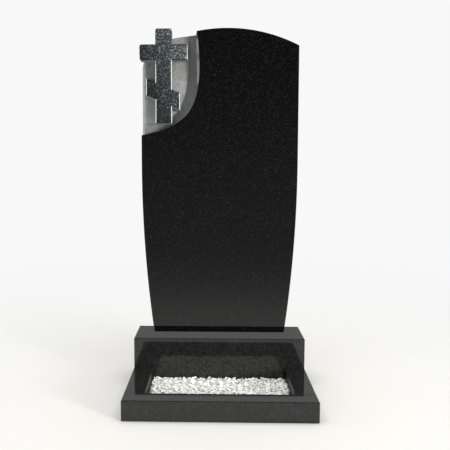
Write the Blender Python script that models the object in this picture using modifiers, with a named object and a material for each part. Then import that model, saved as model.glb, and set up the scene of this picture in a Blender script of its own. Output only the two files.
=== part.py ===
"""Granite headstone with a corner niche and a carved cross, on its stand, with a kerbed bed of marble chips.

Metres, +Z up. The origin is on the ground, at the middle of the whole footprint. The polished face looks
along -Y. The headstone, its stand and the three kerb bars are single sawn stones; the chips are a loose fill.
"""
import math
import random

import bmesh
import bpy
from mathutils import Vector
from mathutils.geometry import interpolate_bezier

# Stand under the headstone
STAND_WIDTH = 0.550
STAND_DEPTH = 0.160
STAND_HEIGHT = 0.155

# Kerb bars around the bed, flush with the stand's ends
BAR_WIDTH = 0.060
BAR_HEIGHT = 0.060
KERB_LENGTH = 0.295  # from the kerb's front face to the stand's front face

# Headstone slab: straight upper sides, then one long arc in to the narrower foot, and an arched top
SLAB_WIDTH = 0.510
SLAB_HEIGHT = 0.995
SLAB_THICKNESS = 0.070
BACK_MARGIN = 0.010  # from the slab's back to the stand's back edge
FOOT_INSET = 0.0385  # how far each side comes in at the foot
SIDE_ARC_HEIGHT = 0.560  # above the foot, where the side begins to curve in
TOP_RADIUS = 0.510
CROWN_OFFSET = 0.022  # the top arc's highest point, to the right of the slab's axis

# Niche in the upper left corner. Places on the slab's face are (in from its left side, down from its crown)
NICHE_DEPTH = 0.040
NICHE_CHAMFER_DEPTH = 0.005
NICHE_WALL_DEPTH = 0.030  # where the upright wall ends and the sloping ledge down to the field begins
SIDE_CHAMFER = 0.007  # takes off the edge between the niche and the slab's left side
FLANK_PULL_UP = 0.036  # length of each curve's handle above its flank
FACE_LINE = ((0.181, 0.010), (0.186, 0.045), (0.189, 0.107), (0.192, 0.280), (0.132, 0.311), (0.007, 0.3404))
WALL_LINE = (
    (0.180, 0.010), (0.180, 0.045), (0.1805, 0.107), (0.1925, 0.2805), (0.132, 0.3105), (0.007, 0.3394),
)
FIELD_LINE = (
    (0.152, 0.018), (0.151, 0.050), (0.1525, 0.100), (0.1535, 0.235), (0.112, 0.310), (0.007, 0.3006),
)

# Behind the niche the stone stands lower than the arch, with a top line from the niche's wall to the left side
PLATE_CLEARANCE = 0.003  # its step up to the arched top stands this far inside the niche's edge on the face
PLATE_LINE = ((FACE_LINE[0][0] - PLATE_CLEARANCE, 0.0165), (0.110, 0.0195), (0.000, 0.030), (0.000, 0.135))

# Cross, also in the same places
CROSS_AXIS = 0.073
CROSS_FACE_SETBACK = 0.003  # behind the polished face
CROSS_BACK = 0.045  # behind the polished face: just into the stone behind the niche
CROSS_BEVEL = 0.003
CROSS_CORNER = 0.006  # radius of the four free outer corners
POST_WIDTH = 0.053
POST_TOP = 0.000
POST_FOOT = 0.303
ARM_LEFT = -0.0052
ARM_RIGHT = 0.151  # runs just into the ledge around the field
ARM_TOP = 0.050
ARM_BOTTOM = 0.100
SLANT_LEFT = 0.0155
SLANT_RIGHT = 0.126
SLANT_MIDDLE = 0.210
SLANT_DROP = 0.048  # from its left end to its right end
SLANT_THICKNESS = 0.055

# White marble chips inside the kerb
CHIPS_HEIGHT = 0.027
CHIPS_UNEVENNESS = 0.004
CHIP_PITCH = 0.022

# Finish
ARRIS = 0.002  # small chamfer on the sawn edges
JOINT_GAP = 0.0003  # between stones that touch
ARC_STEPS = 24
CREST_STEPS = 8
CORNER_STEPS = 3

KERB_FRONT = -(KERB_LENGTH + STAND_DEPTH) / 2
STAND_FRONT = KERB_FRONT + KERB_LENGTH
STAND_BACK = STAND_FRONT + STAND_DEPTH
SLAB_BACK = STAND_BACK - BACK_MARGIN
SLAB_FRONT = SLAB_BACK - SLAB_THICKNESS
SLAB_FOOT = STAND_HEIGHT + JOINT_GAP
SLAB_CROWN = SLAB_FOOT + SLAB_HEIGHT
OVERCUT = 0.020  # how far a cutter reaches past the stone
CHAMFER_RUNOUT = 0.001  # how far the niche's cutter follows its chamfer out past the face
WELD = 0.0001


for old in list(bpy.data.objects):
    bpy.data.objects.remove(old)

headstone = bpy.data.collections.new("headstone")
shaping = bpy.data.collections.new("shaping")
bpy.context.scene.collection.children.link(headstone)
bpy.context.scene.collection.children.link(shaping)


def stone(name, colour, roughness):
    """A stone finish as one Principled material."""
    material = bpy.data.materials.new(name)
    material.use_nodes = True
    shader = material.node_tree.nodes["Principled BSDF"]
    shader.inputs["Base Color"].default_value = (*colour, 1)
    shader.inputs["Roughness"].default_value = roughness
    shader.inputs["Metallic"].default_value = 0
    return material


def place(name, mesh, material, collection=headstone):
    """Adds a mesh to a collection as a named object."""
    thing = bpy.data.objects.new(name, mesh)
    if material:
        thing.data.materials.append(material)
    collection.objects.link(thing)
    return thing


def hide_shaper(thing):
    """Marks an object that only shapes another one."""
    thing.hide_render = True
    thing.display_type = "WIRE"


def block(name, low, high, material, sawn_ends=None):
    """A sawn stone between two corners, with an arris on its edges but not on the ends that butt."""
    low, high = Vector(low), Vector(high)
    work = bmesh.new()
    bmesh.ops.create_cube(work, size=1)
    bmesh.ops.scale(work, vec=high - low, verts=work.verts)
    edges = list(work.edges)
    if sawn_ends is not None:
        edges = [e for e in edges if abs((e.verts[0].co - e.verts[1].co)[sawn_ends]) > ARRIS]
    bmesh.ops.bevel(work, geom=edges, offset=ARRIS, segments=1, affect="EDGES")
    mesh = bpy.data.meshes.new(name)
    work.to_mesh(mesh)
    work.free()
    thing = place(name, mesh, material)
    thing.location = (low + high) / 2
    return thing


def arc(centre, radius, start, end, steps=ARC_STEPS):
    """Points along a circle's arc, from one angle to the other."""
    angles = [start + (end - start) * i / steps for i in range(steps + 1)]
    return [Vector((centre[0] + radius * math.cos(a), centre[1] + radius * math.sin(a))) for a in angles]


def on_face(point):
    """World x and z of a place given as (in from the slab's left side, down from its crown)."""
    return Vector((-SLAB_WIDTH / 2 + point[0], SLAB_CROWN - point[1]))


def slab_outline():
    """The slab's outline seen from the front, anticlockwise from the foot's left corner."""
    half = SLAB_WIDTH / 2
    radius = (SIDE_ARC_HEIGHT ** 2 + FOOT_INSET ** 2) / (2 * FOOT_INSET)
    sweep = math.asin(SIDE_ARC_HEIGHT / radius)
    height = SLAB_FOOT + SIDE_ARC_HEIGHT
    right = arc((half - radius, height), radius, -sweep, 0)
    left = arc((radius - half, height), radius, math.pi, math.pi + sweep)
    pulls = [on_face(p).to_3d() for p in PLATE_LINE]
    plate = [point.to_2d() for point in interpolate_bezier(*pulls, ARC_STEPS)]
    start = math.acos((half - CROWN_OFFSET) / TOP_RADIUS)
    end = math.acos((plate[0].x - CROWN_OFFSET) / TOP_RADIUS)
    top = arc((CROWN_OFFSET, SLAB_CROWN - TOP_RADIUS), TOP_RADIUS, start, end, 2 * ARC_STEPS)
    return right + top + plate + left


def slab_mesh():
    """The slab as a filled flat outline, extruded to its thickness and stood upright."""
    curve = bpy.data.curves.new("slab outline", "CURVE")
    curve.dimensions = "2D"
    curve.fill_mode = "BOTH"
    curve.extrude = SLAB_THICKNESS / 2
    spline = curve.splines.new("POLY")
    points = slab_outline()
    spline.points.add(len(points) - 1)
    for target, point in zip(spline.points, points):
        target.co = (point.x, point.y, 0, 1)
    spline.use_cyclic_u = True
    outline = place("slab outline", curve, None, shaping)
    outline.rotation_euler = (math.pi / 2, 0, 0)
    outline.location = (0, (SLAB_FRONT + SLAB_BACK) / 2, 0)
    bpy.context.view_layer.update()
    depsgraph = bpy.context.evaluated_depsgraph_get()
    mesh = bpy.data.meshes.new_from_object(outline.evaluated_get(depsgraph))
    mesh.transform(outline.matrix_world)
    work = bmesh.new()
    work.from_mesh(mesh)
    bmesh.ops.remove_doubles(work, verts=work.verts, dist=WELD)
    bmesh.ops.recalc_face_normals(work, faces=work.faces)
    work.to_mesh(mesh)
    work.free()
    bpy.data.objects.remove(outline)
    bpy.data.curves.remove(curve)
    return mesh


def niche_line(places):
    """A curve from above the slab's top, down the niche's flank and out past the slab's left side.

    The places are the crest, its handle, the flank, its lower handle, the end's handle and the end.
    """
    crest, crest_pull, flank, flank_pull, end_pull, end = (on_face(p).to_3d() for p in places)
    upper_pull = flank + (flank - flank_pull).normalized() * FLANK_PULL_UP
    upper = interpolate_bezier(crest, crest_pull, upper_pull, flank, CREST_STEPS)
    lower = interpolate_bezier(flank, flank_pull, end_pull, end, ARC_STEPS)
    rise = upper[0] - upper[1]
    run = lower[-1] - lower[-2]
    above = upper[0] + rise * ((OVERCUT + SLAB_CROWN - upper[0].y) / rise.y)
    beyond = lower[-1] + run * ((OVERCUT + SIDE_CHAMFER) / abs(run.x))
    return [above] + upper + lower[1:] + [beyond]


def niche_cutter():
    """The space of the niche: a chamfer at the face, an upright wall, a sloping ledge, and the flat field.

    Its last two corners, outside the slab's left side, lie deeper, which cuts the chamfer along that side.
    """
    face, wall, field = (niche_line(places) for places in (FACE_LINE, WALL_LINE, FIELD_LINE))
    mouth = [f + (f - w) * (CHAMFER_RUNOUT / NICHE_CHAMFER_DEPTH) for f, w in zip(face, wall)]
    corner = Vector((-SLAB_WIDTH / 2 - OVERCUT, SLAB_CROWN + OVERCUT))
    fold = corner + Vector((OVERCUT + SIDE_CHAMFER, 0))
    depths = (-OVERCUT, -CHAMFER_RUNOUT, NICHE_CHAMFER_DEPTH, NICHE_WALL_DEPTH, NICHE_DEPTH)
    work = bmesh.new()
    rings = []
    for line, depth in zip((mouth, mouth, wall, wall, field), depths):
        ring = [corner, fold] + line
        rings.append([work.verts.new((p.x, SLAB_FRONT + depth, p.y)) for p in ring])
    for vert in (rings[-1][0], rings[-1][-1]):
        vert.co.y += OVERCUT + SIDE_CHAMFER
    for front, back in zip(rings, rings[1:]):
        for i in range(len(front)):
            j = (i + 1) % len(front)
            work.faces.new((front[i], front[j], back[j], back[i]))
    back = rings[-1]
    work.faces.new(rings[0])
    work.faces.new(back[1:-1])
    work.faces.new((back[0], back[1], back[-2], back[-1]))
    bmesh.ops.recalc_face_normals(work, faces=work.faces)
    mesh = bpy.data.meshes.new("niche cutter")
    work.to_mesh(mesh)
    work.free()
    cutter = place("niche cutter", mesh, None, shaping)
    hide_shaper(cutter)
    return cutter


def cross_outline():
    """The cross seen from the front: upright, straight arm, and the bar that slopes down to the right."""
    left, right = CROSS_AXIS - POST_WIDTH / 2, CROSS_AXIS + POST_WIDTH / 2

    def slant(across, side):
        fall = SLANT_DROP * (across - CROSS_AXIS) / (SLANT_RIGHT - SLANT_LEFT)
        return (across, SLANT_MIDDLE + fall + side * SLANT_THICKNESS / 2)

    return [
        (left, POST_TOP), (left, ARM_TOP), (ARM_LEFT, ARM_TOP), (ARM_LEFT, ARM_BOTTOM), (left, ARM_BOTTOM),
        slant(left, -1), slant(SLANT_LEFT, -1), slant(SLANT_LEFT, 1), slant(left, 1),
        (left, POST_FOOT), (right, POST_FOOT),
        slant(right, 1), slant(SLANT_RIGHT, 1), slant(SLANT_RIGHT, -1), slant(right, -1),
        (right, ARM_BOTTOM), (ARM_RIGHT, ARM_BOTTOM), (ARM_RIGHT, ARM_TOP), (right, ARM_TOP),
        (right, POST_TOP),
    ]


def cross_body():
    """The cross, as deep as the niche, its free ends softened and its face edges bevelled."""
    front = SLAB_FRONT + CROSS_FACE_SETBACK
    work = bmesh.new()
    verts = []
    for point in cross_outline():
        spot = on_face(point)
        verts.append(work.verts.new((spot.x, front, spot.y)))
    work.faces.new(verts)
    rounded = [verts[i] for i in (0, 2, 3, 19)]
    bmesh.ops.bevel(work, geom=rounded, offset=CROSS_CORNER, segments=CORNER_STEPS, affect="VERTICES",
                    profile=0.5)
    sides = bmesh.ops.extrude_face_region(work, geom=work.faces[:])
    moved = [v for v in sides["geom"] if isinstance(v, bmesh.types.BMVert)]
    bmesh.ops.translate(work, vec=(0, CROSS_BACK - CROSS_FACE_SETBACK, 0), verts=moved)
    bmesh.ops.recalc_face_normals(work, faces=work.faces)
    rim = [e for e in work.edges if all(v.co.y < front + WELD for v in e.verts)]
    bmesh.ops.bevel(work, geom=rim, offset=CROSS_BEVEL, segments=1, affect="EDGES")
    mesh = bpy.data.meshes.new("cross")
    work.to_mesh(mesh)
    work.free()
    body = place("cross", mesh, None, shaping)
    hide_shaper(body)
    return body


def chip_bed(name, low, high, material):
    """The loose fill as one low body with an uneven top."""
    low, high = Vector(low), Vector(high)
    across, along = (max(2, round((high[i] - low[i]) / CHIP_PITCH)) for i in (0, 1))
    draw = random.Random(11)
    work = bmesh.new()
    bmesh.ops.create_grid(work, x_segments=across, y_segments=along, size=0.5)
    for vert in work.verts:
        drop = 1 if vert.is_boundary else draw.random()
        spot = low + Vector((vert.co.x + 0.5, vert.co.y + 0.5, 0)) * (high - low)
        vert.co = (spot.x, spot.y, high.z - CHIPS_UNEVENNESS * drop)
    bmesh.ops.triangulate(work, faces=work.faces)
    base = bmesh.ops.extrude_face_region(work, geom=work.faces[:])
    for item in base["geom"]:
        if isinstance(item, bmesh.types.BMVert):
            item.co.z = low.z
    bmesh.ops.recalc_face_normals(work, faces=work.faces)
    mesh = bpy.data.meshes.new(name)
    work.to_mesh(mesh)
    work.free()
    return place(name, mesh, material)


granite = stone("polished black granite", (0.012, 0.012, 0.012), 0.12)
marble = stone("white marble chips", (0.80, 0.79, 0.76), 0.65)

half_stand = STAND_WIDTH / 2
block("stand", (-half_stand, STAND_FRONT, 0), (half_stand, STAND_BACK, STAND_HEIGHT), granite)

bar_back = KERB_FRONT + BAR_WIDTH
block("front_kerb_bar", (-half_stand, KERB_FRONT, 0), (half_stand, bar_back, BAR_HEIGHT), granite)

side_bar_front = bar_back + JOINT_GAP
side_bar_back = STAND_FRONT - JOINT_GAP
for side, name in ((-1, "left_kerb_bar"), (1, "right_kerb_bar")):
    outer, inner = side * half_stand, side * (half_stand - BAR_WIDTH)
    block(name, (min(outer, inner), side_bar_front, 0), (max(outer, inner), side_bar_back, BAR_HEIGHT),
          granite, sawn_ends=1)

bed_half = half_stand - BAR_WIDTH - JOINT_GAP
chip_bed("marble_chips", (-bed_half, side_bar_front, 0), (bed_half, side_bar_back, CHIPS_HEIGHT), marble)

stele = place("stele", slab_mesh(), granite)
arris = stele.modifiers.new("arris", "BEVEL")
arris.width = ARRIS
arris.segments = 1
arris.limit_method = "ANGLE"
arris.angle_limit = math.radians(30)
niche = stele.modifiers.new("niche", "BOOLEAN")
niche.operation = "DIFFERENCE"
niche.object = niche_cutter()
cross = stele.modifiers.new("cross", "BOOLEAN")
cross.operation = "UNION"
cross.object = cross_body()
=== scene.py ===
"""The looks of a granite headstone with a corner niche and a carved cross, its stand and its kerbed bed.

Everything is in metres and in the part's own frame: +Z up, the polished face looks along -Y.
"""

import math
import random

import bmesh
import bpy
import numpy as np
from mathutils import Matrix, Vector, noise
from mathutils.geometry import interpolate_bezier


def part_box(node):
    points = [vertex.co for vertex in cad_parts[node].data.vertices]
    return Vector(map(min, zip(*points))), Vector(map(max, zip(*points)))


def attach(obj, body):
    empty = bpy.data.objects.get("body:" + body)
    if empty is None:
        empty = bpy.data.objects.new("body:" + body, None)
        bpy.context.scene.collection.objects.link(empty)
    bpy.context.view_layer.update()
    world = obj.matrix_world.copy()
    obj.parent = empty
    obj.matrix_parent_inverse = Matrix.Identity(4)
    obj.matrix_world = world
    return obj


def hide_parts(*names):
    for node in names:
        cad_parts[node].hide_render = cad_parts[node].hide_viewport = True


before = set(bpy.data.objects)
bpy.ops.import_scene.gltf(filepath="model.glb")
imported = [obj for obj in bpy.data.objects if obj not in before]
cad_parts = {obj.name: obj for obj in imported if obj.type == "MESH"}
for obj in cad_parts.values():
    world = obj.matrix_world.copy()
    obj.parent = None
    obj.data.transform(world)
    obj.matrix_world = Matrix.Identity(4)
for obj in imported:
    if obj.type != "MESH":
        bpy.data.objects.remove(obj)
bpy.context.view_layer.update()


# The stand is one sawn block of black granite, polished like a mirror on every side that shows. It sits on
# the foundation in mortar and carries the headstone. The stone is a fine dark gabbro, near-black grains of
# a millimetre or two with a paler one here and there.
STONE_IOR = 1.46
GRAIN_SIZE = 0.0018
MIDDLE_GRAINS = (0.4, 0.88)  # below this share the grains get darker, above it paler
CLOUD_SIZE = 0.015
CLOUD_TONES = ((0.3, 0.75), (0.7, 1.2))
SHEEN_SIZE = 0.060
SHEEN_SPREAD = (0.7, 1.4)  # of the roughness
STAND_ROUGHNESS = 0.05
STAND_GRAINS = ((0.0070, 0.0070, 0.0068, 1), (0.0125, 0.0125, 0.0120, 1), (0.0300, 0.0300, 0.0285, 1))


def new_finish(name):
    """A material with nodes, its node tree and its Principled shader."""
    material = bpy.data.materials.new(name)
    material.use_nodes = True
    return material, material.node_tree, material.node_tree.nodes["Principled BSDF"]


def add_node(tree, kind, inputs=(), **settings):
    """Adds a node, sets its properties, and links or sets the inputs given as (input, socket or value)."""
    made = tree.nodes.new(kind)
    for name, value in settings.items():
        setattr(made, name, value)
    for key, value in inputs:
        if isinstance(value, bpy.types.NodeSocket):
            tree.links.new(value, made.inputs[key])
        else:
            made.inputs[key].default_value = value
    return made


def places_in(tree, size):
    """Places in the stone, counted in steps of the given size."""
    where = add_node(tree, "ShaderNodeTexCoord")
    steps = [(0, where.outputs["Object"]), ("Scale", 1 / size)]
    return add_node(tree, "ShaderNodeVectorMath", steps, operation="SCALE").outputs[0]


def grain_tones(tree, size):
    """A random number from 0 to 1 for each grain of about the given size."""
    cells = add_node(tree, "ShaderNodeTexVoronoi", [("Vector", places_in(tree, size)), ("Scale", 1)])
    return add_node(tree, "ShaderNodeSeparateColor", [(0, cells.outputs["Color"])]).outputs[0]


def clouds(tree, size, detail=3):
    """Soft patches of about the given size, from 0 to 1."""
    inputs = [("Vector", places_in(tree, size)), ("Scale", 1), ("Detail", detail)]
    return add_node(tree, "ShaderNodeTexNoise", inputs).outputs[0]


def tones(tree, value, *stops):
    """The colour at a value, between stops given as (value, colour)."""
    made = add_node(tree, "ShaderNodeValToRGB", [(0, value)])
    marks = made.color_ramp.elements
    while len(marks) < len(stops):
        marks.new(1)
    for mark, (position, colour) in zip(marks, stops):
        mark.position = position
        mark.color = colour
    return made.outputs[0]


def grey(level):
    """A neutral colour."""
    return (level, level, level, 1)


def greys(stops):
    """Stops for a ramp of neutral colours, from (value, level) pairs."""
    return [(value, grey(level)) for value, level in stops]


def blend(tree, kind, first, second, share=1.0):
    """Blends the second colour into the first."""
    inputs = [(0, share), (6, first), (7, second)]
    return add_node(tree, "ShaderNodeMix", inputs, data_type="RGBA", blend_type=kind).outputs[2]


def between(tree, value, low, high, start=0.0, end=1.0):
    """Takes a value that runs from start to end over to the range from low to high."""
    inputs = [("Value", value), ("From Min", start), ("From Max", end), ("To Min", low), ("To Max", high)]
    return add_node(tree, "ShaderNodeMapRange", inputs).outputs[0]


def grain_colours(tree, size, grains, middles):
    """Colours the stone grain by grain, given as its dark, its middle and its pale grain."""
    dark, middle, pale = grains
    stops = [(0.0, dark), (middles[0], middle), (middles[1], middle), (1.0, pale)]
    return tones(tree, grain_tones(tree, size), *stops)


def polished_granite(name, grains, roughness):
    """Black granite polished to a mirror."""
    material, tree, shader = new_finish(name)
    coloured = grain_colours(tree, GRAIN_SIZE, grains, MIDDLE_GRAINS)
    patches = tones(tree, clouds(tree, CLOUD_SIZE), *greys(CLOUD_TONES))
    tree.links.new(blend(tree, "MULTIPLY", coloured, patches), shader.inputs["Base Color"])
    low, high = (share * roughness for share in SHEEN_SPREAD)
    tree.links.new(between(tree, clouds(tree, SHEEN_SIZE), low, high), shader.inputs["Roughness"])
    shader.inputs["IOR"].default_value = STONE_IOR
    return material


stand_finish = polished_granite("stand granite", STAND_GRAINS, STAND_ROUGHNESS)
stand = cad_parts["stand"]
stand.data.materials.clear()
stand.data.materials.append(stand_finish)


# Three bars of the same granite make the kerb around the bed. The front bar runs the full width, and the
# side bars butt between it and the stand, glued at both ends. They are polished, but the side bars' faces
# towards the bed are only honed.
INNER_ROUGHNESS = 0.4
INNER_SHINE = 0.15
FACING = 0.9  # how far along an axis a face's normal reaches, for the face to look that way

inner_finish = polished_granite("honed kerb granite", STAND_GRAINS, INNER_ROUGHNESS)
inner_finish.node_tree.nodes["Principled BSDF"].inputs["Specular IOR Level"].default_value = INNER_SHINE
for name, inward in (("front_kerb_bar", 0), ("left_kerb_bar", 1), ("right_kerb_bar", -1)):
    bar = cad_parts[name]
    bar.data.materials.clear()
    bar.data.materials.append(stand_finish)
    bar.data.materials.append(inner_finish)
    for face in bar.data.polygons:
        face.material_index = 1 if face.normal.x * inward > FACING else 0


# The bed inside the kerb is a loose fill of crushed white marble, poured in and raked level. Its chips are
# broken flakes, most of them 7 to 18 mm long, that lie over one another on a bed of finer stuff.
CHIP_SIZE = 0.0115
CHIP_SPREAD = (0.6, 1.3)  # of the size, from chip to chip
CHIP_STRETCH = ((1.0, 1.6), (0.55, 0.9), (0.35, 0.6))  # along, across and through a chip
CHIP_KINDS = 40
CHIP_CORNERS = 9
CHIP_TILT = 0.55
CHIPS_DROPPED = 6300
CHIP_TRIES = 5
CHIP_SINK = 0.0016  # into the chips below
CHIP_RISE = 0.006  # of the highest tips above the part's solid bed
CHIP_SEED = 5
FINES_DEPTH = 0.013
FINES_SPREAD = (0.85, 1.05)
FINES_PITCH = 0.010
FINES_SEED = 6
BED_CELL = 0.0022
MARBLE_TONES = (
    (0.0, (0.44, 0.43, 0.405, 1)),
    (0.12, (0.76, 0.75, 0.71, 1)),
    (0.5, (0.89, 0.88, 0.85, 1)),
    (1.0, (0.95, 0.94, 0.92, 1)),
)
MARBLE_ROUGHNESS = (0.4, 0.7)
SPARKLE_SIZE = 0.004
VEIN_SIZE = 0.006
VEIN_DETAIL = 4
VEIN_TONES = ((0.35, 0.84), (0.6, 1.0))


def broken_chip(draw):
    """The corners and triangles of one chip of unit size: the hull of points on a flattened ball."""
    work = bmesh.new()
    stretch = Vector([draw.uniform(*span) for span in CHIP_STRETCH])
    for _ in range(CHIP_CORNERS):
        spot = Vector([draw.gauss(0, 1) for _ in range(3)]).normalized()
        work.verts.new(spot * stretch / 2)
    hull = bmesh.ops.convex_hull(work, input=work.verts)
    loose = [v for v in hull["geom_interior"] + hull["geom_unused"] if isinstance(v, bmesh.types.BMVert)]
    bmesh.ops.delete(work, geom=list(set(loose)), context="VERTS")
    bmesh.ops.triangulate(work, faces=work.faces)
    work.verts.index_update()
    corners = np.array([v.co[:] for v in work.verts])
    triangles = np.array([[v.index for v in f.verts] for f in work.faces])
    work.free()
    return corners, triangles


def turned(draw, corners):
    """A chip turned any way around, and tilted a little, as flakes lie."""
    tilt = Matrix.Rotation(draw.gauss(0, CHIP_TILT), 3, "X")
    spin = Matrix.Rotation(draw.uniform(0, math.tau), 3, "Z")
    return corners @ np.array(spin @ tilt).T


def surface_spots(corners, triangles):
    """The corners, the middles of the edges and the middles of the triangles of a chip."""
    shape = corners[triangles]
    edges = (shape + np.roll(shape, 1, axis=1)) / 2
    return np.vstack([corners, shape.mean(axis=1), edges.reshape(-1, 3)])


def lay_chips(low, high):
    """Drops chips one by one on the fines, each where it comes to lie lowest of a few tries."""
    draw = random.Random(CHIP_SEED)
    kinds = [broken_chip(draw) for _ in range(CHIP_KINDS)]
    cells = np.array([int((high.x - low.x) / BED_CELL), int((high.y - low.y) / BED_CELL)])
    surface = np.full(cells + 1, low.z + FINES_DEPTH)
    all_corners, all_triangles, count = [], [], 0
    for _ in range(CHIPS_DROPPED):
        corners, triangles = draw.choice(kinds)
        corners = turned(draw, corners) * CHIP_SIZE * draw.uniform(*CHIP_SPREAD)
        spots = surface_spots(corners, triangles)
        reach = np.abs(corners[:, :2]).max(axis=0)
        room = np.array((high.x - low.x, high.y - low.y)) - 2 * reach
        tries = [reach + room * (draw.random(), draw.random()) for _ in range(CHIP_TRIES)]
        under = ((spots[None, :, :2] + np.array(tries)[:, None]) / BED_CELL).astype(int)
        rests = (surface[under[..., 0], under[..., 1]] - spots[:, 2]).max(axis=1)
        best = int(rests.argmin())
        height = rests[best] - CHIP_SINK
        if height + corners[:, 2].max() > high.z + CHIP_RISE:
            continue
        np.maximum.at(surface, (under[best, :, 0], under[best, :, 1]), spots[:, 2] + height)
        all_corners.append(corners + (low.x + tries[best][0], low.y + tries[best][1], height))
        all_triangles.append(triangles + count)
        count += len(corners)
    return np.vstack(all_corners), np.vstack(all_triangles)


def fines(low, high):
    """The corners and faces of the fine stuff under the chips: a low solid with an uneven top."""
    draw = random.Random(FINES_SEED)
    work = bmesh.new()
    across, along = (round((high[i] - low[i]) / FINES_PITCH) for i in (0, 1))
    bmesh.ops.create_grid(work, x_segments=across, y_segments=along, size=0.5)
    for vert in work.verts:
        spot = low + Vector((vert.co.x + 0.5, vert.co.y + 0.5, 0)) * (high - low)
        vert.co = (spot.x, spot.y, low.z + FINES_DEPTH * draw.uniform(*FINES_SPREAD))
    base = bmesh.ops.extrude_face_region(work, geom=work.faces[:])
    for item in base["geom"]:
        if isinstance(item, bmesh.types.BMVert):
            item.co.z = low.z
    bmesh.ops.recalc_face_normals(work, faces=work.faces)
    work.verts.index_update()
    corners = [v.co.copy() for v in work.verts]
    faces = [[v.index for v in f.verts] for f in work.faces]
    work.free()
    return corners, faces


def crushed_marble():
    """White marble, broken: each chip has its own tone, some of them grey."""
    material, tree, shader = new_finish("crushed marble")
    chip = add_node(tree, "ShaderNodeNewGeometry").outputs["Random Per Island"]
    chip_tones = tones(tree, chip, *MARBLE_TONES)
    veins = tones(tree, clouds(tree, VEIN_SIZE, VEIN_DETAIL), *greys(VEIN_TONES))
    tree.links.new(blend(tree, "MULTIPLY", chip_tones, veins), shader.inputs["Base Color"])
    tree.links.new(between(tree, clouds(tree, SPARKLE_SIZE), *MARBLE_ROUGHNESS), shader.inputs["Roughness"])
    return material


def new_piece(name, mesh):
    """Puts a mesh in the scene as a piece that rides on the part."""
    piece = bpy.data.objects.new(name, mesh)
    bpy.context.scene.collection.objects.link(piece)
    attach(piece, "root")
    return piece


bed_low, bed_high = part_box("marble_chips")
bed_corners, bed_faces = fines(bed_low, bed_high)
chip_corners, chip_triangles = lay_chips(bed_low, bed_high)
chip_faces = (chip_triangles + len(bed_corners)).tolist()
fill_mesh = bpy.data.meshes.new("chip_fill")
fill_mesh.from_pydata(bed_corners + chip_corners.tolist(), [], bed_faces + chip_faces)
fill_mesh.materials.append(crushed_marble())
chip_fill = new_piece("chip_fill", fill_mesh)
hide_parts("marble_chips")


# The headstone is one slab of black granite. Its sides run straight down and then curve in to the foot, and
# its top is one arc. A niche is cut into the upper left corner, and a cross with a sloping lower bar stands
# in it, carved from the same stone. The slab is polished, the niche ground matt, the cross's face pointed.
SIDE_ARC_HEIGHT = 0.560
FOOT_INSET = 0.0385
TOP_RADIUS = 0.510
CROWN_OFFSET = 0.022
ARRIS = 0.002
ARC_STEPS = 72
CREST_STEPS = 24
OVERCUT = 0.020  # how far a cutter reaches past the stone
WELD = 0.0001
STRAIGHT = math.radians(0.02)

# Niche. Places on the slab's face are (in from its left side, down from its crown). The plate is the lower
# stone behind the niche, with a top line of its own
NICHE_DEPTH = 0.040
NICHE_CHAMFER_DEPTH = 0.005
NICHE_WALL_DEPTH = 0.030
FACE_LINE = (
    (0.181, 0.010), (0.186, 0.045), (0.189, 0.107), (0.192, 0.280), (0.132, 0.311), (0.007, 0.3404),
)
WALL_LINE = (
    (0.180, 0.010), (0.180, 0.045), (0.1805, 0.107), (0.1925, 0.2805), (0.132, 0.3105), (0.007, 0.3394),
)
FIELD_LINE = (
    (0.152, 0.018), (0.151, 0.050), (0.1525, 0.100), (0.1535, 0.235), (0.112, 0.310), (0.007, 0.3006),
)
PLATE_LINE = ((0.178, 0.0165), (0.110, 0.0195), (0.000, 0.030), (0.000, 0.135))
FLANK_PULL_UP = 0.036
SIDE_CHAMFER = 0.007

# Cross. Its edges are measured from the slab's left side and down from its crown, too
CROSS_AXIS = 0.073
CROSS_FACE_SETBACK = 0.003
CROSS_BACK = 0.045
CROSS_BEVEL = 0.0022
CROSS_CORNER = 0.006
CORNER_STEPS = 8
POST_WIDTH = 0.053
POST_FOOT = 0.303
ARM_LEFT = -0.0052
ARM_RIGHT = 0.151
ARM_TOP = 0.050
ARM_BOTTOM = 0.100
SLANT_LEFT = 0.0155
SLANT_RIGHT = 0.126
SLANT_MIDDLE = 0.210
SLANT_DROP = 0.048
SLANT_THICKNESS = 0.055
POINTING_PITCH = 0.0022
POINTING_DEPTH = 0.0007
PIT_SIZE = 0.0031
SWELL_SIZE = 0.0075
SWELL_SHARE = 0.6

# Finishes. Each stone is given as its dark, its middle and its pale grain. A matt one given a rise has
# painted light: its colour is made paler along the rise, standing in for how the lamps light the real
# stone, by the power of e of the place along it, less the level
FACE_GRAINS = ((0.0010, 0.0010, 0.0010, 1), (0.0022, 0.0022, 0.0022, 1), (0.0200, 0.0200, 0.0196, 1))
FACE_ROUGHNESS = 0.05
BRIGHT_IOR = 2.2
BRIGHT_ROUGHNESS = 0.12
GROUND_GRAINS = ((0.18, 0.187, 0.18, 1), (0.245, 0.254, 0.245, 1), (0.33, 0.34, 0.33, 1))
GROUND_ROUGHNESS = 0.45
# painted shade: the ground granite of the niche's field and the cross's sides is made darker towards the
# top
GROUND_PAINTED_SHADE_RISE = (0.0, 0.0, -1.8)
GROUND_PAINTED_SHADE_LEVEL = -1.76
POINTED_GRAINS = ((0.0055, 0.0064, 0.0068, 1), (0.0205, 0.0242, 0.0256, 1), (0.128, 0.144, 0.150, 1))
POINTED_GRAIN_SIZE = 0.0024
POINTED_ROUGHNESS = 0.42
POINTED_BUMP = 0.3
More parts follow.
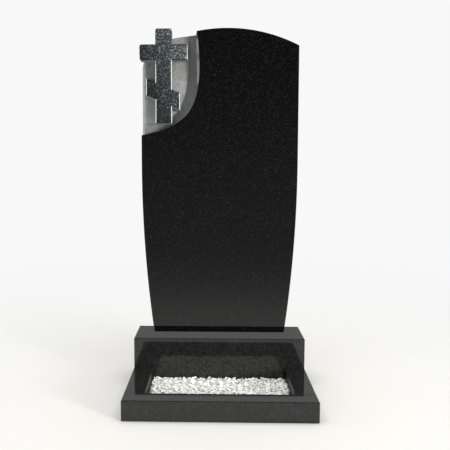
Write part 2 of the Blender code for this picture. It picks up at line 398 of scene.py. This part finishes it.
# painted light: the pointed face of the cross is made paler towards its right and towards its top
POINTED_PAINTED_LIGHT_RISE = (10.0, 0.0, 4.0)
POINTED_PAINTED_LIGHT_LEVEL = 2.22
POINTED_SHINE = 0.22
SAWN_GRAINS = ((0.26, 0.265, 0.26, 1), (0.36, 0.365, 0.36, 1), (0.46, 0.465, 0.46, 1))
SAWN_ROUGHNESS = 0.6
# painted shade in part: honed wall and ledge, made darker than the ground field and darker to the top
HONED_AND_SHADED_GRAINS = ((0.085, 0.088, 0.085, 1), (0.125, 0.130, 0.125, 1), (0.18, 0.187, 0.18, 1))
HONED_ROUGHNESS = 0.4
HONED_PAINTED_SHADE_RISE = (0.0, 0.0, -1.5)
HONED_PAINTED_SHADE_LEVEL = -1.52
MATT_GRAIN_SIZE = 0.0015
MATT_MIDDLE_GRAINS = (0.35, 0.75)
MATT_CLOUD_SIZE = 0.02
MATT_CLOUD_TONES = ((0.3, 0.85), (0.7, 1.1))
MATT_SPREAD = (0.7, 1.3)  # of the roughness, from grain to grain
MATT_BUMP = 0.5
MATT_BUMP_HEIGHT = 0.0004
MATT_BUMP_DETAIL = 5
SHARP_EDGE = math.radians(12)

stele_low, stele_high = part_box("stele")
SLAB_WIDTH = 2 * stele_high.x
SLAB_FRONT, SLAB_BACK = stele_low.y, stele_high.y
SLAB_FOOT, SLAB_CROWN = stele_low.z, stele_high.z
POLISHED, GROUND, POINTED, BRIGHT, SAWN, HONED = range(6)


def arc(centre, radius, start, end, steps=ARC_STEPS):
    """Points along a circle's arc, from one angle to the other."""
    angles = [start + (end - start) * i / steps for i in range(steps + 1)]
    return [Vector((centre[0] + radius * math.cos(a), centre[1] + radius * math.sin(a))) for a in angles]


def on_face(place):
    """World x and z of a place on the slab's face."""
    return Vector((-SLAB_WIDTH / 2 + place[0], SLAB_CROWN - place[1]))


def slab_outline():
    """The slab's outline seen from the front, anticlockwise from the foot's right corner."""
    half = SLAB_WIDTH / 2
    radius = (SIDE_ARC_HEIGHT ** 2 + FOOT_INSET ** 2) / (2 * FOOT_INSET)
    sweep = math.asin(SIDE_ARC_HEIGHT / radius)
    height = SLAB_FOOT + SIDE_ARC_HEIGHT
    right = arc((half - radius, height), radius, -sweep, 0)
    left = arc((radius - half, height), radius, math.pi, math.pi + sweep)
    pulls = [on_face(p).to_3d() for p in PLATE_LINE]
    plate = [point.to_2d() for point in interpolate_bezier(*pulls, ARC_STEPS)]
    start = math.acos((half - CROWN_OFFSET) / TOP_RADIUS)
    end = math.acos((plate[0].x - CROWN_OFFSET) / TOP_RADIUS)
    top = arc((CROWN_OFFSET, SLAB_CROWN - TOP_RADIUS), TOP_RADIUS, start, end, 2 * ARC_STEPS)
    return right + top + plate + left


def thicken(work, depth):
    """Makes the one flat face that stands in the work a solid of the given depth."""
    sides = bmesh.ops.extrude_face_region(work, geom=work.faces[:])
    moved = [v for v in sides["geom"] if isinstance(v, bmesh.types.BMVert)]
    bmesh.ops.translate(work, vec=(0, depth, 0), verts=moved)
    bmesh.ops.recalc_face_normals(work, faces=work.faces)


def to_object(name, work, finishes):
    """Turns work into an object for shaping, with its finishes."""
    mesh = bpy.data.meshes.new(name)
    work.to_mesh(mesh)
    work.free()
    for finish in finishes:
        mesh.materials.append(finish)
    shaped = bpy.data.objects.new(name, mesh)
    bpy.context.scene.collection.objects.link(shaped)
    return shaped


def rim_edges(work, y):
    """The edges that lie in the plane at y, on the side of a solid."""
    return [e for e in work.edges if all(abs(v.co.y - y) < WELD for v in e.verts)
            and len({round(f.normal.y, 3) for f in e.link_faces}) == 2]


def slab(finishes):
    """The plain slab, with a small arris all around both faces."""
    work = bmesh.new()
    work.faces.new([work.verts.new((p.x, SLAB_FRONT, p.y)) for p in slab_outline()])
    thicken(work, SLAB_BACK - SLAB_FRONT)
    bmesh.ops.dissolve_limit(work, angle_limit=STRAIGHT, verts=[], edges=[])
    rims = rim_edges(work, SLAB_FRONT) + rim_edges(work, SLAB_BACK)
    bmesh.ops.bevel(work, geom=rims, offset=ARRIS, segments=1, affect="EDGES")
    return to_object("slab", work, finishes)


def niche_line(places):
    """A curve from above the slab's top, down the niche's flank and out past the slab's left side.

    The places are the crest, its handle, the flank, its lower handle, the end's handle and the end.
    """
    crest, crest_pull, flank, flank_pull, end_pull, end = (on_face(p).to_3d() for p in places)
    upper_pull = flank + (flank - flank_pull).normalized() * FLANK_PULL_UP
    upper = interpolate_bezier(crest, crest_pull, upper_pull, flank, CREST_STEPS)
    lower = interpolate_bezier(flank, flank_pull, end_pull, end, ARC_STEPS)
    rise = upper[0] - upper[1]
    run = lower[-1] - lower[-2]
    above = upper[0] + rise * ((OVERCUT + SLAB_CROWN - upper[0].y) / rise.y)
    beyond = lower[-1] + run * ((OVERCUT + SIDE_CHAMFER) / abs(run.x))
    return [above] + upper + lower[1:] + [beyond]


def niche_space(finishes):
    """The space of the niche: a chamfer at the face, an upright wall, a sloping ledge, and the flat field.

    Its last two corners, outside the slab's left side, lie deeper, which cuts the chamfer along that side.
    That chamfer is left as sawn.
    """
    face, wall, field = (niche_line(places) for places in (FACE_LINE, WALL_LINE, FIELD_LINE))
    corner = Vector((-SLAB_WIDTH / 2 - OVERCUT, SLAB_CROWN + OVERCUT))
    fold = corner + Vector((OVERCUT + SIDE_CHAMFER, 0))
    depths = (-OVERCUT, 0, NICHE_CHAMFER_DEPTH, NICHE_WALL_DEPTH, NICHE_DEPTH)
    work = bmesh.new()
    rings = []
    for line, depth in zip((face, face, wall, wall, field), depths):
        rings.append([work.verts.new((p.x, SLAB_FRONT + depth, p.y)) for p in [corner, fold] + line])
    for vert in (rings[-1][0], rings[-1][-1]):
        vert.co.y += OVERCUT + SIDE_CHAMFER
    for front, back, finish in zip(rings, rings[1:], (POLISHED, BRIGHT, HONED, HONED)):
        for i in range(len(front)):
            j = (i + 1) % len(front)
            made = work.faces.new((front[i], front[j], back[j], back[i]))
            made.material_index = SAWN if back is rings[-1] and j == len(front) - 1 else finish
    back = rings[-1]
    work.faces.new(rings[0])
    work.faces.new(back[1:-1]).material_index = GROUND
    work.faces.new((back[0], back[1], back[-2], back[-1])).material_index = SAWN
    bmesh.ops.recalc_face_normals(work, faces=work.faces)
    return to_object("niche space", work, finishes)


def cross_outline():
    """The cross seen from the front: post, straight arm, and the bar that slopes down to the right."""
    left, right = CROSS_AXIS - POST_WIDTH / 2, CROSS_AXIS + POST_WIDTH / 2

    def slant(across, side):
        fall = SLANT_DROP * (across - CROSS_AXIS) / (SLANT_RIGHT - SLANT_LEFT)
        return (across, SLANT_MIDDLE + fall + side * SLANT_THICKNESS / 2)

    places = [
        (left, 0), (left, ARM_TOP), (ARM_LEFT, ARM_TOP), (ARM_LEFT, ARM_BOTTOM), (left, ARM_BOTTOM),
        slant(left, -1), slant(SLANT_LEFT, -1), slant(SLANT_LEFT, 1), slant(left, 1),
        (left, POST_FOOT), (right, POST_FOOT),
        slant(right, 1), slant(SLANT_RIGHT, 1), slant(SLANT_RIGHT, -1), slant(right, -1),
        (right, ARM_BOTTOM), (ARM_RIGHT, ARM_BOTTOM), (ARM_RIGHT, ARM_TOP), (right, ARM_TOP), (right, 0),
    ]
    return [on_face(p) for p in places]


def cross_body(finishes):
    """The cross, as deep as the niche, its free corners softened and its face's edges bevelled."""
    front = SLAB_FRONT + CROSS_FACE_SETBACK
    work = bmesh.new()
    ring = [work.verts.new((p.x, front, p.y)) for p in cross_outline()]
    work.faces.new(ring)
    free = [ring[i] for i in (0, 2, 3, 19)]  # of the post's top and of the left arm's end
    bmesh.ops.bevel(work, geom=free, offset=CROSS_CORNER, segments=CORNER_STEPS, affect="VERTICES",
                    profile=0.5)
    thicken(work, CROSS_BACK - CROSS_FACE_SETBACK)
    for face in work.faces:
        upright = abs(face.normal.x) > max(abs(face.normal.y), abs(face.normal.z))
        face.material_index = POINTED if face.normal.y < -FACING else GROUND if upright else POLISHED
    rim = bmesh.ops.bevel(work, geom=rim_edges(work, front), offset=CROSS_BEVEL, segments=1, affect="EDGES")
    for face in rim["faces"]:
        middle = face.calc_center_median()
        inside = middle.x > -SLAB_WIDTH / 2 and middle.z < SLAB_CROWN - ARM_TOP
        face.material_index = BRIGHT if inside and abs(face.normal.x) > abs(face.normal.z) else POLISHED
    return to_object("cross", work, finishes)


def joined(shaped, operation, other):
    """Cuts one solid from another or joins them into one stone. Each keeps its own finish."""
    cut = shaped.modifiers.new(operation.lower(), "BOOLEAN")
    cut.operation = operation
    cut.object = other
    cut.material_mode = "TRANSFER"
    bpy.context.view_layer.update()
    evaluated = shaped.evaluated_get(bpy.context.evaluated_depsgraph_get())
    mesh = bpy.data.meshes.new_from_object(evaluated)
    for old in (shaped, other):
        bpy.data.objects.remove(old)
    work = bmesh.new()
    work.from_mesh(mesh)
    return work


def point_face(work):
    """Dresses the cross's face with the point: a grid of small pits and peaks all over it."""
    spots = [on_face(p) for p in ((ARM_LEFT, POST_FOOT), (ARM_RIGHT, 0))]
    low, high = spots[0], spots[1]
    for axis, start, end in ((0, low.x, high.x), (2, low.y, high.y)):
        normal = Vector((0, 0, 0))
        normal[axis] = 1
        for i in range(1, int((end - start) / POINTING_PITCH)):
            faces = [f for f in work.faces if f.material_index == POINTED]
            cut = faces + list({e for f in faces for e in f.edges})
            cut += list({v for f in faces for v in f.verts})
            spot = normal * (start + i * POINTING_PITCH)
            bmesh.ops.bisect_plane(work, geom=cut, plane_co=spot, plane_no=normal)
    for vert in work.verts:
        if all(f.material_index == POINTED for f in vert.link_faces):
            rough = noise.noise(vert.co / PIT_SIZE) + SWELL_SHARE * noise.noise(vert.co / SWELL_SIZE)
            vert.co.y -= POINTING_DEPTH * rough


def painted_light_ramp(tree, rise, level):
    """Painted light: a factor growing along the rise, 1 where the place along it equals the level."""
    where = add_node(tree, "ShaderNodeTexCoord").outputs["Object"]
    inputs = [(0, where), (1, rise)]
    along = add_node(tree, "ShaderNodeVectorMath", inputs, operation="DOT_PRODUCT").outputs["Value"]
    steps = add_node(tree, "ShaderNodeMath", [(0, along), (1, level)], operation="SUBTRACT").outputs[0]
    return add_node(tree, "ShaderNodeMath", [(0, steps)], operation="EXPONENT").outputs[0]


def matt_granite(name, grains, roughness, size=MATT_GRAIN_SIZE, bump=MATT_BUMP, rise=(0, 0, 0), level=0):
    """Granite that is ground, honed, sawn or pointed: paler than polished, with its grains showing."""
    material, tree, shader = new_finish(name)
    coloured = grain_colours(tree, size, grains, MATT_MIDDLE_GRAINS)
    patches = tones(tree, clouds(tree, MATT_CLOUD_SIZE), *greys(MATT_CLOUD_TONES))
    patched = blend(tree, "MULTIPLY", coloured, patches)
    # painted light: the colour is multiplied by the ramp, paler or darker along the rise
    tree.links.new(blend(tree, "MULTIPLY", patched, painted_light_ramp(tree, rise, level)), shader.inputs["Base Color"])
    low, high = (share * roughness for share in MATT_SPREAD)
    tree.links.new(between(tree, grain_tones(tree, size), low, high), shader.inputs["Roughness"])
    pits = clouds(tree, size, MATT_BUMP_DETAIL)
    inputs = [("Height", pits), ("Strength", bump), ("Distance", MATT_BUMP_HEIGHT)]
    tree.links.new(add_node(tree, "ShaderNodeBump", inputs).outputs[0], shader.inputs["Normal"])
    return material


face_finish = polished_granite("headstone granite", FACE_GRAINS, FACE_ROUGHNESS)
bright_finish = polished_granite("bright arris", FACE_GRAINS, BRIGHT_ROUGHNESS)
bright_finish.node_tree.nodes["Principled BSDF"].inputs["IOR"].default_value = BRIGHT_IOR
ground_finish = matt_granite("ground granite", GROUND_GRAINS, GROUND_ROUGHNESS, rise=GROUND_PAINTED_SHADE_RISE,
                             level=GROUND_PAINTED_SHADE_LEVEL)
pointed_finish = matt_granite("pointed granite", POINTED_GRAINS, POINTED_ROUGHNESS, POINTED_GRAIN_SIZE,
                              POINTED_BUMP, POINTED_PAINTED_LIGHT_RISE, POINTED_PAINTED_LIGHT_LEVEL)
pointed_finish.node_tree.nodes["Principled BSDF"].inputs["Specular IOR Level"].default_value = POINTED_SHINE
sawn_finish = matt_granite("sawn granite", SAWN_GRAINS, SAWN_ROUGHNESS)
honed_and_shaded_finish = matt_granite("honed granite", HONED_AND_SHADED_GRAINS, HONED_ROUGHNESS, rise=HONED_PAINTED_SHADE_RISE,
                            level=HONED_PAINTED_SHADE_LEVEL)
finishes = (face_finish, ground_finish, pointed_finish, bright_finish, sawn_finish, honed_and_shaded_finish)

stone = joined(slab(finishes), "DIFFERENCE", niche_space(finishes))
stone = joined(to_object("hollowed slab", stone, finishes), "UNION", cross_body(finishes))
point_face(stone)
headstone_mesh = bpy.data.meshes.new("granite_headstone")
stone.to_mesh(headstone_mesh)
stone.free()
for finish in finishes:
    headstone_mesh.materials.append(finish)
headstone_mesh.shade_smooth()
headstone_mesh.set_sharp_from_angle(angle=SHARP_EDGE)
for face in headstone_mesh.polygons:
    face.use_smooth = face.material_index != POINTED
headstone = new_piece("granite_headstone", headstone_mesh)
headstone.visible_glossy = False
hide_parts("stele")


# The stage is a pale round floor that fades into the backdrop with distance.
FLOOR_RADIUS = 6.0
FLOOR_SEGMENTS = 96
FLOOR_COLOUR = (0.575, 0.566, 0.542, 1)
FLOOR_ROUGHNESS = 0.9
FLOOR_HALF = 1.0  # where half of the floor's colour is left
FLOOR_FADE = 4

floor_mesh = bpy.data.meshes.new("floor")
disc = bmesh.new()
bmesh.ops.create_circle(disc, cap_ends=True, radius=FLOOR_RADIUS, segments=FLOOR_SEGMENTS)
disc.to_mesh(floor_mesh)
disc.free()
floor = bpy.data.objects.new("floor", floor_mesh)
bpy.context.scene.collection.objects.link(floor)
floor_finish, tree, shader = new_finish("floor")
shader.inputs["Base Color"].default_value = FLOOR_COLOUR
shader.inputs["Roughness"].default_value = FLOOR_ROUGHNESS
shader.inputs["Specular IOR Level"].default_value = 0
where = add_node(tree, "ShaderNodeTexCoord").outputs["Object"]
distance = add_node(tree, "ShaderNodeVectorMath", [(0, where)], operation="LENGTH").outputs["Value"]
steps = add_node(tree, "ShaderNodeMath", [(0, distance), (1, FLOOR_HALF)], operation="DIVIDE").outputs[0]
faded = add_node(tree, "ShaderNodeMath", [(0, steps), (1, FLOOR_FADE)], operation="POWER").outputs[0]
spread = add_node(tree, "ShaderNodeMath", [(0, faded), (1, 1)], operation="ADD").outputs[0]
share = add_node(tree, "ShaderNodeMath", [(0, 1), (1, spread)], operation="DIVIDE").outputs[0]
clear = add_node(tree, "ShaderNodeBsdfTransparent")
surface = add_node(tree, "ShaderNodeMixShader", [(0, share), (1, clear.outputs[0]), (2, shader.outputs[0])])
tree.links.new(surface.outputs[0], tree.nodes["Material Output"].inputs["Surface"])
floor_mesh.materials.append(floor_finish)


# The lamps are soft and rectangular. The key stands in front on the right, and a large one hangs overhead.
# The strips show in the bevels and arrises at both sides. The fill and the overhead lamp light the stone
# but are kept out of its polish.
KEY_AZIMUTH = math.radians(47)
KEY_DISTANCE = 6.0
NICHE_MIDDLE = Vector((-0.17, SLAB_FRONT, 1.0))
SIDE_TARGET = (-0.2, 0.15, 0.95)


def area_light(name, place, target, size, watts):
    """A lamp at a place, turned to a target."""
    data = bpy.data.lights.new(name, "AREA")
    data.shape = "RECTANGLE"
    data.size, data.size_y = size
    data.energy = watts
    lamp = bpy.data.objects.new(name, data)
    lamp.location = place
    lamp.rotation_euler = (Vector(target) - Vector(place)).to_track_quat("-Z", "Y").to_euler()
    bpy.context.scene.collection.objects.link(lamp)
    return lamp


key_place = NICHE_MIDDLE + Vector((math.sin(KEY_AZIMUTH), -math.cos(KEY_AZIMUTH), 0.0)) * KEY_DISTANCE
area_light("key", key_place, NICHE_MIDDLE, size=(1.0, 1.0), watts=400)
fill = area_light("fill", (-0.9, -2.6, 0.4), NICHE_MIDDLE, size=(0.3, 0.6), watts=15)
fill.visible_glossy = False
overhead = area_light("overhead", (0, -0.3, 3.4), (0, -0.3, 0), size=(4.4, 3.0), watts=170)
overhead.visible_glossy = False
area_light("back", (0, 2.2, 2.6), (0, 0.2, 0.4), size=(2.2, 1.2), watts=30)
area_light("left strip", (-2.5, 0.37, 1.2), SIDE_TARGET, size=(0.5, 0.45), watts=4.5)
area_light("right strip", (2.5, -0.1, 1.3), SIDE_TARGET, size=(0.5, 0.6), watts=6)
area_light("front strip", (-2.45, -0.45, 1.0), (-0.07, 0.15, 1.0), size=(1.4, 1.5), watts=7)


# The sky is a grey studio. Its part in front of the stone, which the face mirrors, changes with height.
# The rest changes from front to back as well, and the two blend where a direction's Y lies between the
# values named here. The camera sees an even backdrop instead.
FRONT_SKY = (
    (0.35, 0.75), (0.386, 0.57), (0.402, 0.44), (0.435, 0.27), (0.46, 0.24),
    (0.50, 0.17), (0.55, 0.09), (0.61, 0.03), (0.8, 0.05), (1.0, 0.3),
)
SIDE_SKY = ((0.15, 0.4), (0.4, 0.75), (0.6, 0.75), (0.85, 0.45), (1.0, 0.43))
UPPER_DIM = ((0.50, 0.7), (0.63, 0.72), (0.68, 1.0), (0.9, 0.2))
FRONT_ENDS = -0.8
REST_BEGINS = -0.4
BACKDROP = 0.94

world = bpy.data.worlds.new("studio")
bpy.context.scene.world = world
world.use_nodes = True
tree = world.node_tree
heading = add_node(tree, "ShaderNodeTexCoord").outputs["Generated"]
parts = add_node(tree, "ShaderNodeSeparateXYZ", [(0, heading)])
front_to_back = between(tree, parts.outputs["Y"], 0, 1, -1, 1)
down_to_up = between(tree, parts.outputs["Z"], 0, 1, -1, 1)
front_sky = tones(tree, down_to_up, *greys(FRONT_SKY))
side_sky = tones(tree, front_to_back, *greys(SIDE_SKY))
upper_dim = tones(tree, down_to_up, *greys(UPPER_DIM))
inputs = [("Value", parts.outputs["Y"]), ("From Min", FRONT_ENDS), ("From Max", REST_BEGINS)]
turn = add_node(tree, "ShaderNodeMapRange", inputs, interpolation_type="SMOOTHSTEP").outputs[0]
sky = blend(tree, "MIX", front_sky, blend(tree, "MULTIPLY", side_sky, upper_dim), turn)
seen = add_node(tree, "ShaderNodeLightPath").outputs["Is Camera Ray"]
shown = blend(tree, "MIX", sky, grey(BACKDROP), seen)
background = tree.nodes.get("Background") or add_node(tree, "ShaderNodeBackground")
tree.links.new(shown, background.inputs["Color"])


# The camera stands in front of the headstone at chest height, a little to its left, looking slightly down.
CAMERA_PLACE = (-0.0188, -1.869, 0.6947)
CAMERA_PITCH = 0.08883
CAMERA_TURN = 0.02743
LENS_PIXELS = 613.44
IMAGE_PIXELS = 450
AXIS_PIXEL = 196.8
SENSOR_WIDTH = 36  # mm

camera_data = bpy.data.cameras.new("camera")
camera_data.sensor_width = SENSOR_WIDTH
camera_data.lens = LENS_PIXELS / IMAGE_PIXELS * SENSOR_WIDTH
camera_data.shift_x = (IMAGE_PIXELS / 2 - AXIS_PIXEL) / IMAGE_PIXELS
camera = bpy.data.objects.new("camera", camera_data)
camera.location = CAMERA_PLACE
camera.rotation_euler = (math.pi / 2 - CAMERA_PITCH, 0, CAMERA_TURN)
bpy.context.scene.collection.objects.link(camera)
bpy.context.scene.camera = camera
bpy.context.scene.view_settings.view_transform = "Standard"
